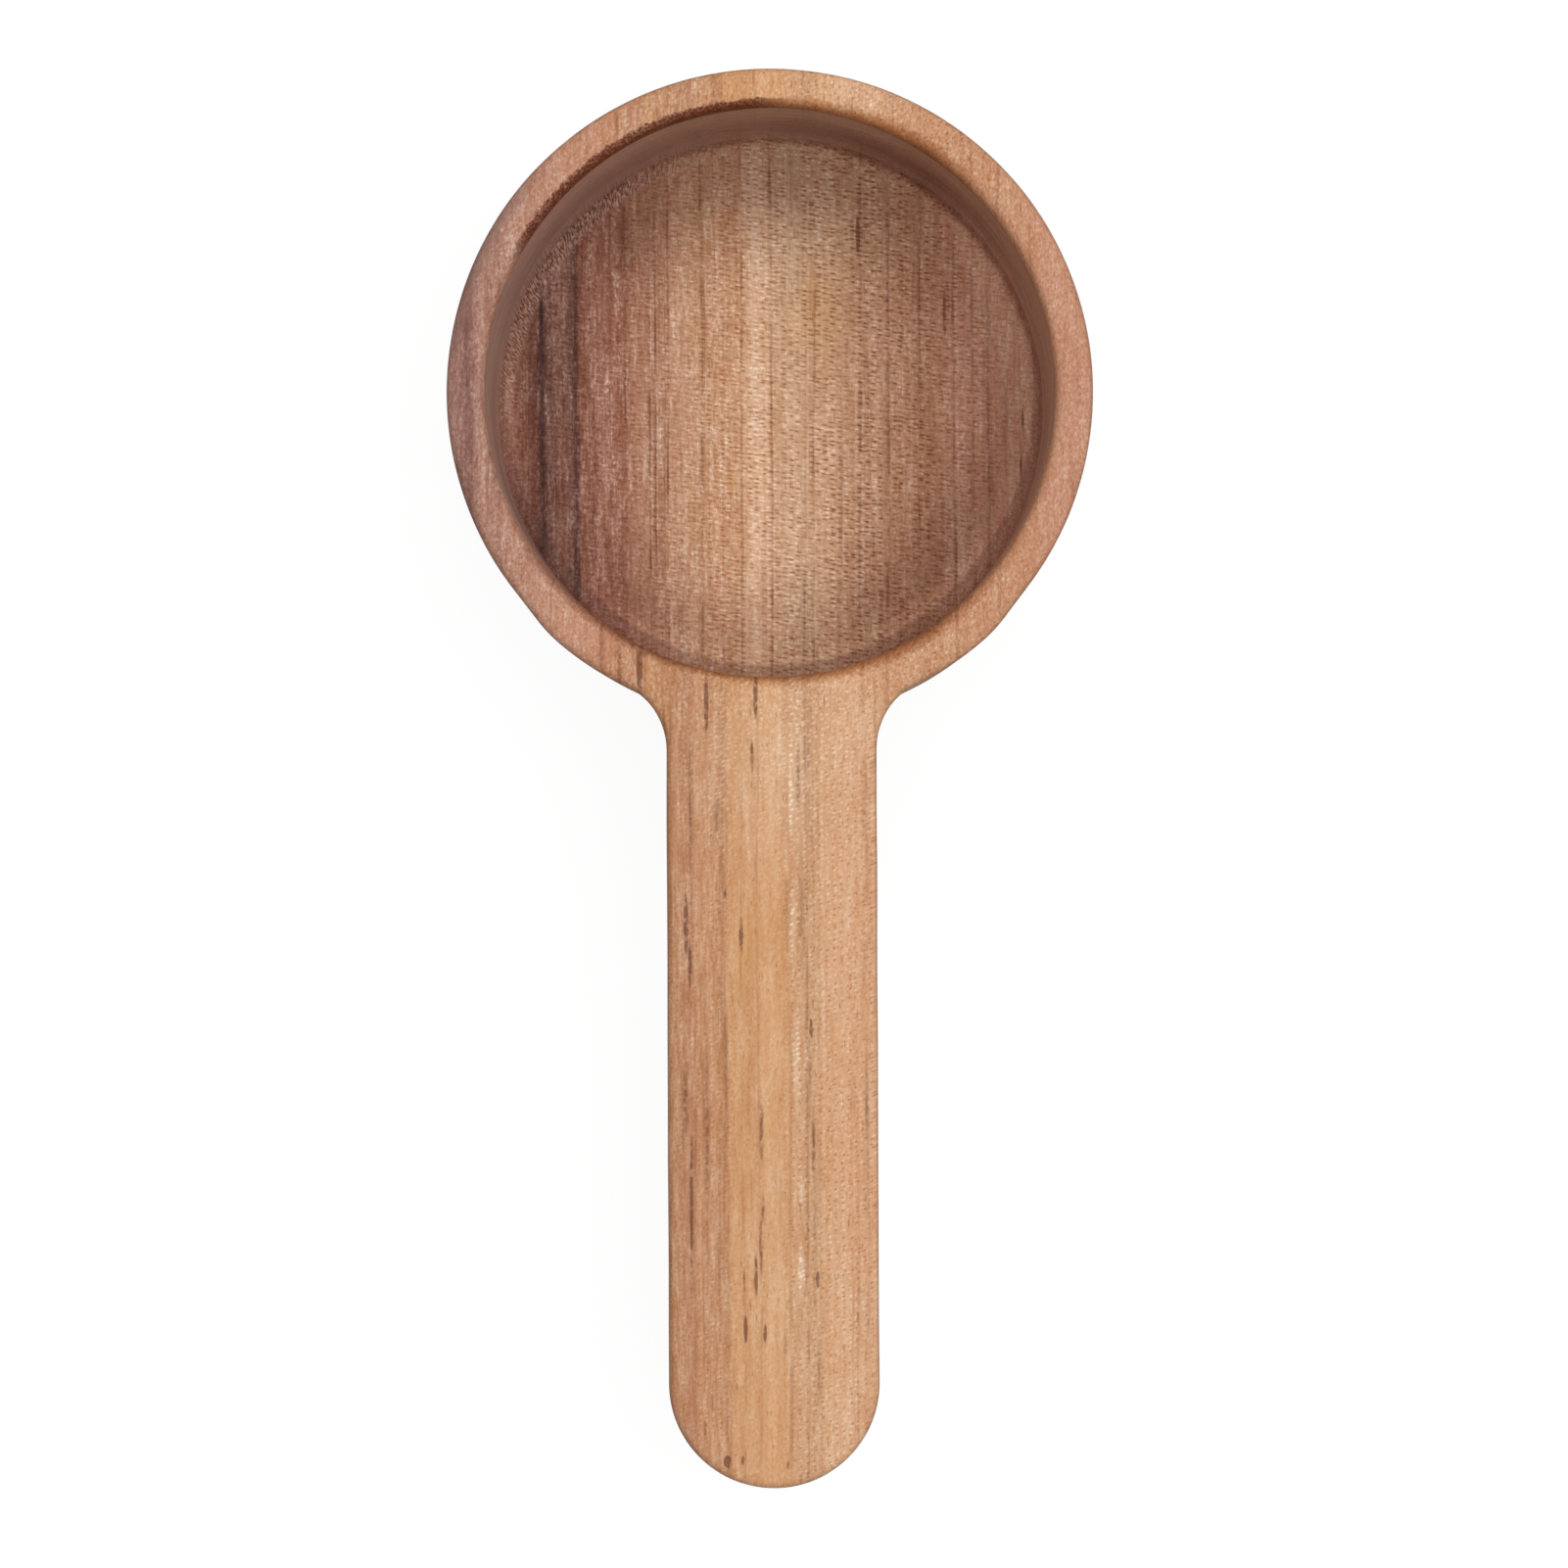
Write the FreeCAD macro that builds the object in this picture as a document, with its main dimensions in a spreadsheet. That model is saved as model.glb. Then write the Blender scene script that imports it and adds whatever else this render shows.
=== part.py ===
"""A round wooden measuring spoon, carved from one block of wood.

Millimetres, +Z up. The origin is the centre of the flat base that the spoon stands on, the cup's axis is Z
and the handle runs along -Y, with its top level with the cup's rim.
The steps follow the workshop: the handle and the cup are sawn to their plan outlines, the neck between them
is hollowed, the measuring hollow is bored with a flat-bottomed cutter, and the edges are rounded.
"""

import FreeCAD
import Part
import math
import os

import Sketcher
from FreeCAD import Vector

# Driving sizes: alias, value and what it measures. Lengths are millimetres and angles are degrees.
SIZES = [
    ("cup_diameter", 52.0, "outside diameter of the cup, which has straight sides"),
    ("cup_height", 22.5, "height of the rim above the base"),
    ("rim_width", 3.2, "thickness of the cup's wall"),
    ("floor_thickness", 4.1, "wood left under the measuring hollow"),
    ("floor_corner_radius", 1.2, "cutter's corner radius, between the hollow's side and floor"),
    ("base_edge_radius", 4.0, "rounding between the cup's side and base"),
    ("rim_edge_radius", 0.8, "rounding of the rim's two edges and of the edges of the handle's top"),
    ("handle_length", 62.0, "from the cup's side to the tip of the handle"),
    ("handle_width", 17.0, "width of the handle, which ends in a half circle"),
    ("handle_thickness", 8.0, "depth of the handle, measured down from the rim"),
    ("handle_under_radius", 2.0, "rounding of the edges under the handle"),
    ("neck_radius", 5.0, "hollow curve between the handle and the cup, beside the handle and under it"),
    ("shoulder_height", 0.36, "how far the cup's side stands proud beside the neck"),
    ("shoulder_angle", 40.0, "from the handle's axis to where the proud side begins to run out"),
    ("shoulder_end_radius", 12.0, "curve at the start of that run-out, which ends in a flat"),
]

# A cut starts this far outside the wood.
CUT_START = 1.0
# Points closer than this are one point, and directions closer than this are one direction.
SAME = 1e-6
# The numbers that a sketch gives its own origin and upright axis, and the ends and centre of a piece.
ORIGIN, X_AXIS, Y_AXIS = -1, -1, -2
START, END, CENTRE = range(1, 4)


def make_sheet(doc):
    """Write the driving sizes to a spreadsheet and return it."""
    sheet = doc.addObject("Spreadsheet::Sheet", "Sizes")
    for row, (alias, value, meaning) in enumerate(SIZES, start=1):
        sheet.set("A%d" % row, meaning)
        sheet.set("B%d" % row, str(value))
        sheet.setAlias("B%d" % row, alias)
    doc.recompute()
    return sheet


def origin_plane(body, role):
    """One of the body's own origin planes."""
    return next(item for item in body.Origin.OriginFeatures if item.Role == role)


def new_sketch(body, name, role):
    """An empty sketch on one of the body's origin planes."""
    sketch = body.newObject("Sketcher::SketchObject", name)
    sketch.AttachmentSupport = [(origin_plane(body, role), "")]
    sketch.MapMode = "FlatFace"
    return sketch


def line(start, end):
    return Part.LineSegment(Vector(*start, 0), Vector(*end, 0))


def arc(centre, radius, first, last):
    """An arc that runs anticlockwise between two angles in degrees."""
    circle = Part.Circle(Vector(*centre, 0), Vector(0, 0, 1), radius)
    return Part.ArcOfCircle(circle, math.radians(first), math.radians(last))


def ends(piece):
    """Each end of a line or arc: its number in a sketch, its point and its direction there."""
    return [
        (START, piece.StartPoint, piece.tangent(piece.FirstParameter)[0]),
        (END, piece.EndPoint, piece.tangent(piece.LastParameter)[0]),
    ]


def draw_outline(sketch, pieces):
    """Draw a closed outline of named pieces, smooth wherever two of them meet in one direction.

    Returns the number that each named piece has in the sketch.
    """
    numbers = {name: sketch.addGeometry(piece, False) for name, piece in pieces.items()}
    names = list(pieces)
    for name, following in zip(names, names[1:] + names[:1]):
        for here, point, direction in ends(pieces[name]):
            for there, other_point, other_direction in ends(pieces[following]):
                if point.distanceToPoint(other_point) > SAME:
                    continue
                smooth = direction.cross(other_direction).Length < SAME
                kind = "Tangent" if smooth else "Coincident"
                join = Sketcher.Constraint(kind, numbers[name], here, numbers[following], there)
                sketch.addConstraint(join)
    for name, piece in pieces.items():
        if not isinstance(piece, Part.LineSegment):
            continue
        run = piece.EndPoint - piece.StartPoint
        if abs(run.x) < SAME:
            sketch.addConstraint(Sketcher.Constraint("Vertical", numbers[name]))
        elif abs(run.y) < SAME:
            sketch.addConstraint(Sketcher.Constraint("Horizontal", numbers[name]))
    return numbers


def bind(sketch, name, formula, *constraint):
    """Add a dimension and tie it to the spreadsheet."""
    sketch.addConstraint(Sketcher.Constraint(*constraint))
    sketch.renameConstraint(sketch.ConstraintCount - 1, name)
    sketch.setExpression("Constraints." + name, formula)


def polar(radius, turn):
    """The point at a distance from the origin, turned this many degrees from the X axis."""
    return radius * math.cos(math.radians(turn)), radius * math.sin(math.radians(turn))


def mirrored(point):
    return -point[0], point[1]


def draw_handle(body, sheet):
    """Plan outline of the handle at rim level, from its half-round tip to the cup's axis."""
    sketch = new_sketch(body, "HandlePlan", "XY_Plane")
    sketch.setExpression("AttachmentOffset.Base.z", "Sizes.cup_height")
    half_width = sheet.handle_width / 2
    reach = sheet.cup_diameter / 2 + sheet.handle_length - half_width
    number = draw_outline(sketch, {
        "tip": arc((0, -reach), half_width, 180, 360),
        "right side": line((half_width, -reach), (half_width, 0)),
        "end": line((half_width, 0), (-half_width, 0)),
        "left side": line((-half_width, 0), (-half_width, -reach)),
    })
    sketch.addConstraint([
        Sketcher.Constraint("PointOnObject", number["tip"], CENTRE, Y_AXIS),
        Sketcher.Constraint("PointOnObject", number["end"], START, X_AXIS),
    ])
    bind(sketch, "half_width", "Sizes.handle_width / 2", "Radius", number["tip"], half_width)
    bind(sketch, "reach", "Sizes.cup_diameter / 2 + Sizes.handle_length - Sizes.handle_width / 2",
         "DistanceY", number["tip"], CENTRE, ORIGIN, START, reach)
    return sketch


def draw_cup(body, sheet):
    """Plan outline of the cup: a circle that stands slightly proud, as two shoulders, beside the neck."""
    sketch = new_sketch(body, "CupPlan", "XY_Plane")
    radius = sheet.cup_diameter / 2
    shoulder = radius + sheet.shoulder_height
    run_out = sheet.shoulder_end_radius

    # A flat leaves the circle in line with it, and an arc rounds the flat over to the proud shoulder.
    shoulder_turn = sheet.shoulder_angle - 90
    spread = math.degrees(math.acos((radius - run_out) / (shoulder - run_out)))
    flat_turn = shoulder_turn + spread
    run_out_centre = polar(shoulder - run_out, shoulder_turn)
    run_out_x, run_out_y = polar(run_out, flat_turn)
    flat_start = (run_out_centre[0] + run_out_x, run_out_centre[1] + run_out_y)
    flat_end = polar(radius, flat_turn)

    number = draw_outline(sketch, {
        "circle": arc((0, 0), radius, flat_turn, 180 - flat_turn),
        "left flat": line(mirrored(flat_end), mirrored(flat_start)),
        "left run-out": arc(mirrored(run_out_centre), run_out, 180 - flat_turn, 180 - shoulder_turn),
        "shoulder": arc((0, 0), shoulder, 180 - shoulder_turn, 360 + shoulder_turn),
        "right run-out": arc(run_out_centre, run_out, shoulder_turn, flat_turn),
        "right flat": line(flat_start, flat_end),
    })
    ray = sketch.addGeometry(line((0, 0), polar(shoulder, shoulder_turn)), True)
    left_ray = sketch.addGeometry(line((0, 0), polar(shoulder, 180 - shoulder_turn)), True)
    sketch.addConstraint([
        Sketcher.Constraint("Coincident", number["circle"], CENTRE, ORIGIN, START),
        Sketcher.Constraint("Coincident", number["shoulder"], CENTRE, ORIGIN, START),
        Sketcher.Constraint("Coincident", ray, START, ORIGIN, START),
        Sketcher.Constraint("Coincident", ray, END, number["right run-out"], START),
        Sketcher.Constraint("Coincident", left_ray, START, ORIGIN, START),
        Sketcher.Constraint("Coincident", left_ray, END, number["left run-out"], END),
        Sketcher.Constraint("Equal", number["right run-out"], number["left run-out"]),
    ])
    bind(sketch, "radius", "Sizes.cup_diameter / 2", "Radius", number["circle"], radius)
    bind(sketch, "shoulder", "Sizes.cup_diameter / 2 + Sizes.shoulder_height",
         "Radius", number["shoulder"], shoulder)
    bind(sketch, "run_out", "Sizes.shoulder_end_radius", "Radius", number["right run-out"], run_out)
    bind(sketch, "shoulder_turn", "(Sizes.shoulder_angle - 90) * 1 deg",
         "Angle", ray, math.radians(shoulder_turn))
    bind(sketch, "left_shoulder_turn", "(270 - Sizes.shoulder_angle) * 1 deg",
         "Angle", left_ray, math.radians(180 - shoulder_turn))
    return sketch


def draw_hollow(body, sheet):
    """Half section of the measuring hollow, with the cutter's rounded corner."""
    sketch = new_sketch(body, "HollowSection", "XZ_Plane")
    radius = sheet.cup_diameter / 2 - sheet.rim_width
    start = sheet.cup_height + CUT_START
    floor = sheet.floor_thickness
    corner = sheet.floor_corner_radius
    number = draw_outline(sketch, {
        "floor": line((0, floor), (radius - corner, floor)),
        "corner": arc((radius - corner, floor + corner), corner, 270, 360),
        "side": line((radius, floor + corner), (radius, start)),
        "way in": line((radius, start), (0, start)),
        "axis": line((0, start), (0, floor)),
    })
    sketch.addConstraint(Sketcher.Constraint("PointOnObject", number["floor"], START, Y_AXIS))
    bind(sketch, "radius", "Sizes.cup_diameter / 2 - Sizes.rim_width",
         "DistanceX", ORIGIN, START, number["side"], START, radius)
    bind(sketch, "floor", "Sizes.floor_thickness", "DistanceY", ORIGIN, START, number["floor"], START, floor)
    bind(sketch, "corner", "Sizes.floor_corner_radius", "Radius", number["corner"], corner)
    bind(sketch, "way_in", "Sizes.cup_height + %g" % CUT_START,
         "DistanceY", ORIGIN, START, number["way in"], START, start)
    return sketch


def add_pad(body, name, sketch, formula, downwards=False):
    """Extrude a plan outline to a depth."""
    pad = body.newObject("PartDesign::Pad", name)
    pad.Profile = sketch
    pad.Reversed = downwards
    pad.setExpression("Length", formula)
    body.Document.recompute()
    return pad


def level_edges(feature, level, test=lambda edge: True):
    """Names of the feature's edges that lie flat at one level and pass a test."""
    return [
        "Edge%d" % number
        for number, edge in enumerate(feature.Shape.Edges, start=1)
        if abs(edge.BoundBox.ZMin - level) < SAME and abs(edge.BoundBox.ZMax - level) < SAME and test(edge)
    ]


def round_edges(body, name, base, edges, formula):
    """Round the named edges of the base feature, and those that run on from them, with one radius."""
    fillet = body.newObject("PartDesign::Fillet", name)
    fillet.Base = (base, edges)
    fillet.setExpression("Radius", formula)
    body.Document.recompute()
    return fillet


def bore_hollow(body, sketch, base):
    """Turn the hollow's half section a full turn about the upright axis and cut it out of the base."""
    groove = body.newObject("PartDesign::Groove", "Hollow")
    groove.Profile = sketch
    groove.ReferenceAxis = (sketch, ["V_Axis"])
    groove.Angle = 360
    body.Document.recompute()
    if groove.Shape.Volume >= base.Shape.Volume:
        raise RuntimeError("the hollow cut nothing")
    return groove


def make_spoon(doc, sheet):
    """The whole spoon as one body."""
    body = doc.addObject("PartDesign::Body", "Spoon")
    body.Label = "spoon"
    top = sheet.cup_height
    under = top - sheet.handle_thickness
    shoulder = sheet.cup_diameter / 2 + sheet.shoulder_height

    def is_outside(edge):
        """True for the handle's sides and tip, and not for its end at the cup's axis."""
        return edge.BoundBox.YMin < -SAME

    def is_at_neck(edge):
        """True where the underside of the handle meets the cup's proud side."""
        middle = edge.valueAt((edge.FirstParameter + edge.LastParameter) / 2)
        return abs(math.hypot(middle.x, middle.y) - shoulder) < SAME

    step = add_pad(body, "Handle", draw_handle(body, sheet), "Sizes.handle_thickness", downwards=True)
    edges = level_edges(step, under, is_outside)
    step = round_edges(body, "HandleUnderEdges", step, edges, "Sizes.handle_under_radius")
    step = add_pad(body, "Cup", draw_cup(body, sheet), "Sizes.cup_height")
    step = round_edges(body, "Neck", step, level_edges(step, under, is_at_neck), "Sizes.neck_radius")
    step = round_edges(body, "BaseEdge", step, level_edges(step, 0), "Sizes.base_edge_radius")

    step = bore_hollow(body, draw_hollow(body, sheet), step)
    round_edges(body, "TopEdges", step, level_edges(step, top), "Sizes.rim_edge_radius")
    return body


def check(doc, bodies):
    """Stop if any step failed or a sub-part is not one sound solid."""
    for item in doc.Objects:
        if "Invalid" in item.State or "Error" in item.State:
            raise RuntimeError("%s failed: %s" % (item.Label, item.State))
    for body in bodies:
        shape = body.Shape
        if shape.isNull() or not shape.isValid() or len(shape.Solids) != 1:
            raise RuntimeError("%s is not one sound solid" % body.Label)


def main():
    doc = FreeCAD.newDocument("MeasuringSpoon")
    sheet = make_sheet(doc)
    bodies = [make_spoon(doc, sheet)]
    check(doc, bodies)
    os.makedirs("parts", exist_ok=True)
    for body in bodies:
        body.Shape.exportStep("parts/%s.step" % body.Label)
        print("%s: %.0f cubic millimetres" % (body.Label, body.Shape.Volume))


main()
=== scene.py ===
"""Blender scene of a round wooden measuring spoon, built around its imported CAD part.

The file is laid out as an add-on: properties hold the sizes and colours, the spoon and the stage have an
operator each, and a panel in the 3D view's sidebar lists them. Lengths are metres in the CAD frame, +Z up,
with the cup's axis on Z and the handle along -Y. The wood material works in millimetres.
"""

import math

import bmesh
import bpy
import numpy as np
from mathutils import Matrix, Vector


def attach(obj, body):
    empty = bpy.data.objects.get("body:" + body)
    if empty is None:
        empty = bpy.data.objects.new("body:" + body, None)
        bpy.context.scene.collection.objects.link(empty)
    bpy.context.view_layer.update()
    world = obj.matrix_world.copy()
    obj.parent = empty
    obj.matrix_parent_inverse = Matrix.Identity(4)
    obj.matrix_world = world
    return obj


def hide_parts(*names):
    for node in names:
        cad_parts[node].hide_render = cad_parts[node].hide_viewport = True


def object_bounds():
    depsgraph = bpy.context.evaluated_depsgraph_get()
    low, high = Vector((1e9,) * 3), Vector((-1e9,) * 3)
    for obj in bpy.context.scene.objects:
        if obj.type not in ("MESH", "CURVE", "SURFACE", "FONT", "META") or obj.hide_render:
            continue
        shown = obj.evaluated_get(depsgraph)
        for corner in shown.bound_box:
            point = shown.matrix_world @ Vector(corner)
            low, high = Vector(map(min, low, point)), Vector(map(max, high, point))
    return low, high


bl_info = {
    "name": "Wooden measuring spoon",
    "version": (1, 0, 0),
    "blender": (4, 5, 0),
    "location": "3D View > Sidebar > Spoon",
    "description": "Carves a wooden measuring spoon around its CAD part and sets up its stage",
    "category": "Add Mesh",
}

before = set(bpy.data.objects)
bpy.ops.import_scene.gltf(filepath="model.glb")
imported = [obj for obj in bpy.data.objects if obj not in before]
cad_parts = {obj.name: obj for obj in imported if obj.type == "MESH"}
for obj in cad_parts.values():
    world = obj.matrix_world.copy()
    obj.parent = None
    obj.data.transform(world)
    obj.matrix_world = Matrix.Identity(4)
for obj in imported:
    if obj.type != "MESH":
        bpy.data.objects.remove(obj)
CAD_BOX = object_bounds()

MM = 0.001
CAD_NODE = "spoon"

# The carved surface may leave the CAD part's box by this much before the operator stops.
BOX_TOLERANCE = 0.02 * MM
# Step for measuring how a distance grows, and how often the surface is settled and its quads are evened.
PROBE = 0.001 * MM
SETTLE_STEPS = 2
EVENING_ROUNDS = 5
# The smallest slope and corner that a distance is divided by.
LEAST_SLOPE = 0.25
LEAST_CORNER = 1e-6

# The stage: half the floor's side, where the light stands and aims, and the camera's place in plan.
FLOOR_HALF_SIDE = 3.0
LIGHT_PLACE = (0.15, 0.1, 0.8)
LIGHT_AIM = (0.0, -0.03, 0.02)
CAMERA_X, CAMERA_Y = 1.0 * MM, -31.45 * MM

# The kinds of node that are used most.
MATH = "ShaderNodeMath"
VECTOR = "ShaderNodeVectorMath"
RANGE = "ShaderNodeMapRange"
NOISE = "ShaderNodeTexNoise"
RAMP = "ShaderNodeValToRGB"
JOIN = "ShaderNodeCombineXYZ"
SPLIT = "ShaderNodeSeparateXYZ"
MIX = "ShaderNodeMix"
# Sockets of the Mix node, for colours and for plain values.
MIX_FACTOR, MIX_A, MIX_B, MIX_RESULT = 0, 6, 7, 2
VALUE_A, VALUE_B = 2, 3
# The two ways in which a mask changes between its limits.
EVEN, SOFT = "LINEAR", "SMOOTHSTEP"
WHITE = (1.0, 1.0, 1.0, 1.0)
NOTHING = (0.0, 0.0, 0.0, 1.0)


def linear(hex_colour):
    """An sRGB hex colour as linear red, green and blue."""
    parts = [int(hex_colour[i:i + 2], 16) / 255 for i in (1, 3, 5)]
    return tuple(c / 12.92 if c <= 0.04045 else ((c + 0.055) / 1.055) ** 2.4 for c in parts)


def opaque(hex_colour):
    """The same colour with a full alpha, for colour sockets and ramps."""
    return (*linear(hex_colour), 1.0)


def add(tree, kind, inputs=(), out=0, stops=(), **settings):
    """Add one node with its settings, inputs and ramp stops, and return one of its outputs.

    Inputs are a list in socket order or a dict by socket, each a value or another node's output.
    """
    node = tree.nodes.new(kind)
    for name, value in settings.items():
        setattr(node, name, value)
    pairs = inputs.items() if isinstance(inputs, dict) else enumerate(inputs)
    for key, value in pairs:
        if isinstance(value, bpy.types.NodeSocket):
            tree.links.new(value, node.inputs[key])
        elif value is not None:
            node.inputs[key].default_value = value
    for number, (place, colour) in enumerate(stops):
        ramp = node.color_ramp.elements
        stop = ramp[number] if number < len(ramp) else ramp.new(place)
        stop.position = place
        stop.color = colour
    return node.outputs[out] if len(node.outputs) else node


def empty_tree(owner):
    """The node tree of a material or a world, with nothing in it."""
    owner.use_nodes = True
    owner.node_tree.nodes.clear()
    return owner.node_tree


# The spoon's shape, as signed distances that are negative in the wood.


def cup_plan(sizes, x, y):
    """Distance outside the cup's outline: a circle with a slightly proud shoulder each side of the handle."""
    radius = sizes.cup_diameter / 2
    shoulder = radius + sizes.shoulder_height
    run_out = sizes.shoulder_end_radius
    flat_turn = sizes.shoulder_angle + math.acos((radius - run_out) / (shoulder - run_out))
    out_x = np.abs(x) - (shoulder - run_out) * math.sin(sizes.shoulder_angle)
    out_y = y + (shoulder - run_out) * math.cos(sizes.shoulder_angle)
    turn = np.arctan2(np.abs(x), -y)
    out_turn = np.arctan2(out_x, -out_y)
    on_run_out = (out_turn >= sizes.shoulder_angle) & (out_turn <= flat_turn)
    reach = np.hypot(x, y)
    return np.select(
        [turn <= sizes.shoulder_angle, turn >= flat_turn, on_run_out],
        [reach - shoulder, reach - radius, np.hypot(out_x, out_y) - run_out],
        np.abs(x) * math.sin(flat_turn) - y * math.cos(flat_turn) - radius,
    )


def handle_plan(sizes, x, y):
    """Distance outside the handle's outline, which runs from the cup's axis to a half-round tip."""
    half_width = sizes.handle_width / 2
    reach = sizes.cup_diameter / 2 + sizes.handle_length - half_width
    past_tip = np.maximum(-reach - y, 0)
    return np.maximum(np.hypot(x, past_tip) - half_width, y)


def rounded_corner(a, b, radius):
    """Where two solids overlap, with the edge between them rounded."""
    inside = np.minimum(np.maximum(a, b), -radius)
    return inside + np.hypot(np.maximum(a + radius, 0), np.maximum(b + radius, 0))


def filled_corner(a, b, lean, radius):
    """Two solids together, with the hollow corner between them filled as by a rolling ball.

    The lean is the cosine of the angle between the two surfaces' normals.
    """
    past_a = a - radius
    past_b = b - radius
    in_corner = (past_a < lean * past_b) & (past_b < lean * past_a)
    spread = past_a ** 2 + past_b ** 2 - 2 * lean * past_a * past_b
    spread = spread / np.maximum(1 - lean ** 2, LEAST_CORNER)
    return np.where(in_corner, radius - np.sqrt(np.maximum(spread, 0)), np.minimum(a, b))


def growth(rule, points):
    """How fast a distance rule grows along each axis at the points."""
    steps = np.eye(3)[:, :, None] * PROBE
    return np.stack([rule(points + step) - rule(points - step) for step in steps]) / (2 * PROBE)


def spoon_distance(sizes, points):
    """Distance outside the spoon's surface, by the steps that the CAD solid is built with."""
    under = sizes.cup_height - sizes.handle_thickness

    def cup(p):
        return rounded_corner(cup_plan(sizes, p[0], p[1]), -p[2], sizes.base_edge_radius)

    def handle(p):
        return rounded_corner(handle_plan(sizes, p[0], p[1]), under - p[2], sizes.handle_under_radius)

    lean = (growth(cup, points) * growth(handle, points)).sum(axis=0)
    outside = filled_corner(cup(points), handle(points), lean, sizes.neck_radius)
    bore = np.hypot(points[0], points[1]) - (sizes.cup_diameter / 2 - sizes.rim_width)
    hollow = rounded_corner(bore, sizes.floor_thickness - points[2], sizes.floor_corner_radius)
    side = np.maximum(outside, -hollow)
    return rounded_corner(side, points[2] - sizes.cup_height, sizes.rim_edge_radius)


def settle(sizes, points):
    """Move points, as three rows of coordinates, onto the spoon's surface."""
    def rule(p):
        return spoon_distance(sizes, p)

    for _ in range(SETTLE_STEPS):
        slope = growth(rule, points)
        points = points - rule(points) * slope / np.maximum((slope ** 2).sum(axis=0), LEAST_SLOPE)
    return points


def make_plain(item):
    """Turn an object's modifiers into plain mesh and remove them."""
    depsgraph = bpy.context.evaluated_depsgraph_get()
    mesh = bpy.data.meshes.new_from_object(item.evaluated_get(depsgraph), depsgraph=depsgraph)
    item.modifiers.clear()
    item.data = mesh
    mesh.name = item.name


def carve_blank(sizes):
    """A closed mesh of even quads on the spoon's exact surface.

    It starts from a copy of the CAD part's mesh. Each point is then moved half way to the middle of its
    neighbours and back onto the surface, a few times over.
    """
    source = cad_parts[CAD_NODE].data.copy()
    merged = bmesh.new()
    merged.from_mesh(source)
    bmesh.ops.remove_doubles(merged, verts=merged.verts, dist=PROBE)
    merged.to_mesh(source)
    merged.free()
    source.materials.clear()

    blank = bpy.data.objects.new("carved_spoon", source)
    bpy.context.scene.collection.objects.link(blank)
    quads = blank.modifiers.new("Even quads", "REMESH")
    quads.mode = "VOXEL"
    quads.voxel_size = sizes.quad_size
    make_plain(blank)
    bpy.data.meshes.remove(source)

    mesh = blank.data
    flat = np.empty(len(mesh.vertices) * 3)
    mesh.vertices.foreach_get("co", flat)
    points = settle(sizes, flat.reshape(-1, 3).T)
    pairs = np.empty(len(mesh.edges) * 2, np.int32)
    mesh.edges.foreach_get("vertices", pairs)
    first, second = pairs.reshape(-1, 2).T
    near = np.bincount(pairs, minlength=points.shape[1])
    for _ in range(EVENING_ROUNDS):
        total = np.stack([
            np.bincount(first, row[second], len(row)) + np.bincount(second, row[first], len(row))
            for row in points
        ])
        points = settle(sizes, (points + total / near) / 2)
    mesh.vertices.foreach_set("co", points.T.ravel())
    mesh.update()
    return blank


def hand_finish_tree():
    """Geometry nodes that wear a carved surface: sanding waves all over, and torn grain round the floor."""
    tree = bpy.data.node_groups.new("Hand finish", "GeometryNodeTree")
    kinds = {"Geometry": "NodeSocketGeometry", "Wood": "NodeSocketMaterial"}
    for name in ("Geometry", "Sanding depth", "Sanding length", "Tear depth", "Tear length", "Bore radius",
                 "Floor height", "Ring width", "Seed", "Wood"):
        kind = kinds.get(name, "NodeSocketFloat")
        tree.interface.new_socket(name=name, in_out="INPUT", socket_type=kind)
    tree.interface.new_socket(name="Geometry", in_out="OUTPUT", socket_type="NodeSocketGeometry")
    given = tree.nodes.new("NodeGroupInput").outputs

    place = add(tree, "GeometryNodeInputPosition")
    waves = []
    for wave_length, detail in (("Sanding length", 1.0), ("Tear length", 2.0)):
        scale = add(tree, MATH, [1.0, given[wave_length]], operation="DIVIDE")
        noise = {"Vector": place, "W": given["Seed"], "Scale": scale, "Detail": detail}
        waves.append(add(tree, NOISE, noise, noise_dimensions="4D"))
    sanded, tear = waves
    sanded_depth = add(tree, MATH, [sanded, given["Sanding depth"]], operation="MULTIPLY")

    # The cutter tore the grain where the hollow's side meets its floor.
    axes = add(tree, VECTOR, [place, (1.0, 1.0, 0.0)], operation="MULTIPLY")
    reach = add(tree, VECTOR, [axes], out="Value", operation="LENGTH")
    inward = add(tree, MATH, [given["Bore radius"], reach], operation="SUBTRACT")
    place_z = add(tree, SPLIT, [place], out="Z")
    above = add(tree, MATH, [place_z, given["Floor height"]], operation="SUBTRACT")
    corner = add(tree, JOIN, [inward, above, 0.0])
    corner_gap = add(tree, VECTOR, [corner], out="Value", operation="LENGTH")
    in_ring = add(tree, RANGE, [corner_gap, 0.0, given["Ring width"], 1.0, 0.0], interpolation_type=SOFT)
    torn = add(tree, MATH, [tear, in_ring], operation="MULTIPLY")
    depth = add(tree, MATH, [torn, given["Tear depth"], sanded_depth], operation="MULTIPLY_ADD")

    normal = add(tree, "GeometryNodeInputNormal")
    inwards = add(tree, MATH, [depth, -1.0], operation="MULTIPLY")
    offset = add(tree, VECTOR, {0: normal, "Scale": inwards}, operation="SCALE")
    worn = add(tree, "GeometryNodeSetPosition", {"Geometry": given["Geometry"], "Offset": offset})
    smooth = add(tree, "GeometryNodeSetShadeSmooth", {"Geometry": worn, "Shade Smooth": True})
    real = add(tree, "GeometryNodeRealizeInstances", {"Geometry": smooth})
    dressed = add(tree, "GeometryNodeSetMaterial", {"Geometry": real, "Material": given["Wood"]})
    add(tree, "NodeGroupOutput", {"Geometry": dressed})
    return tree


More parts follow.
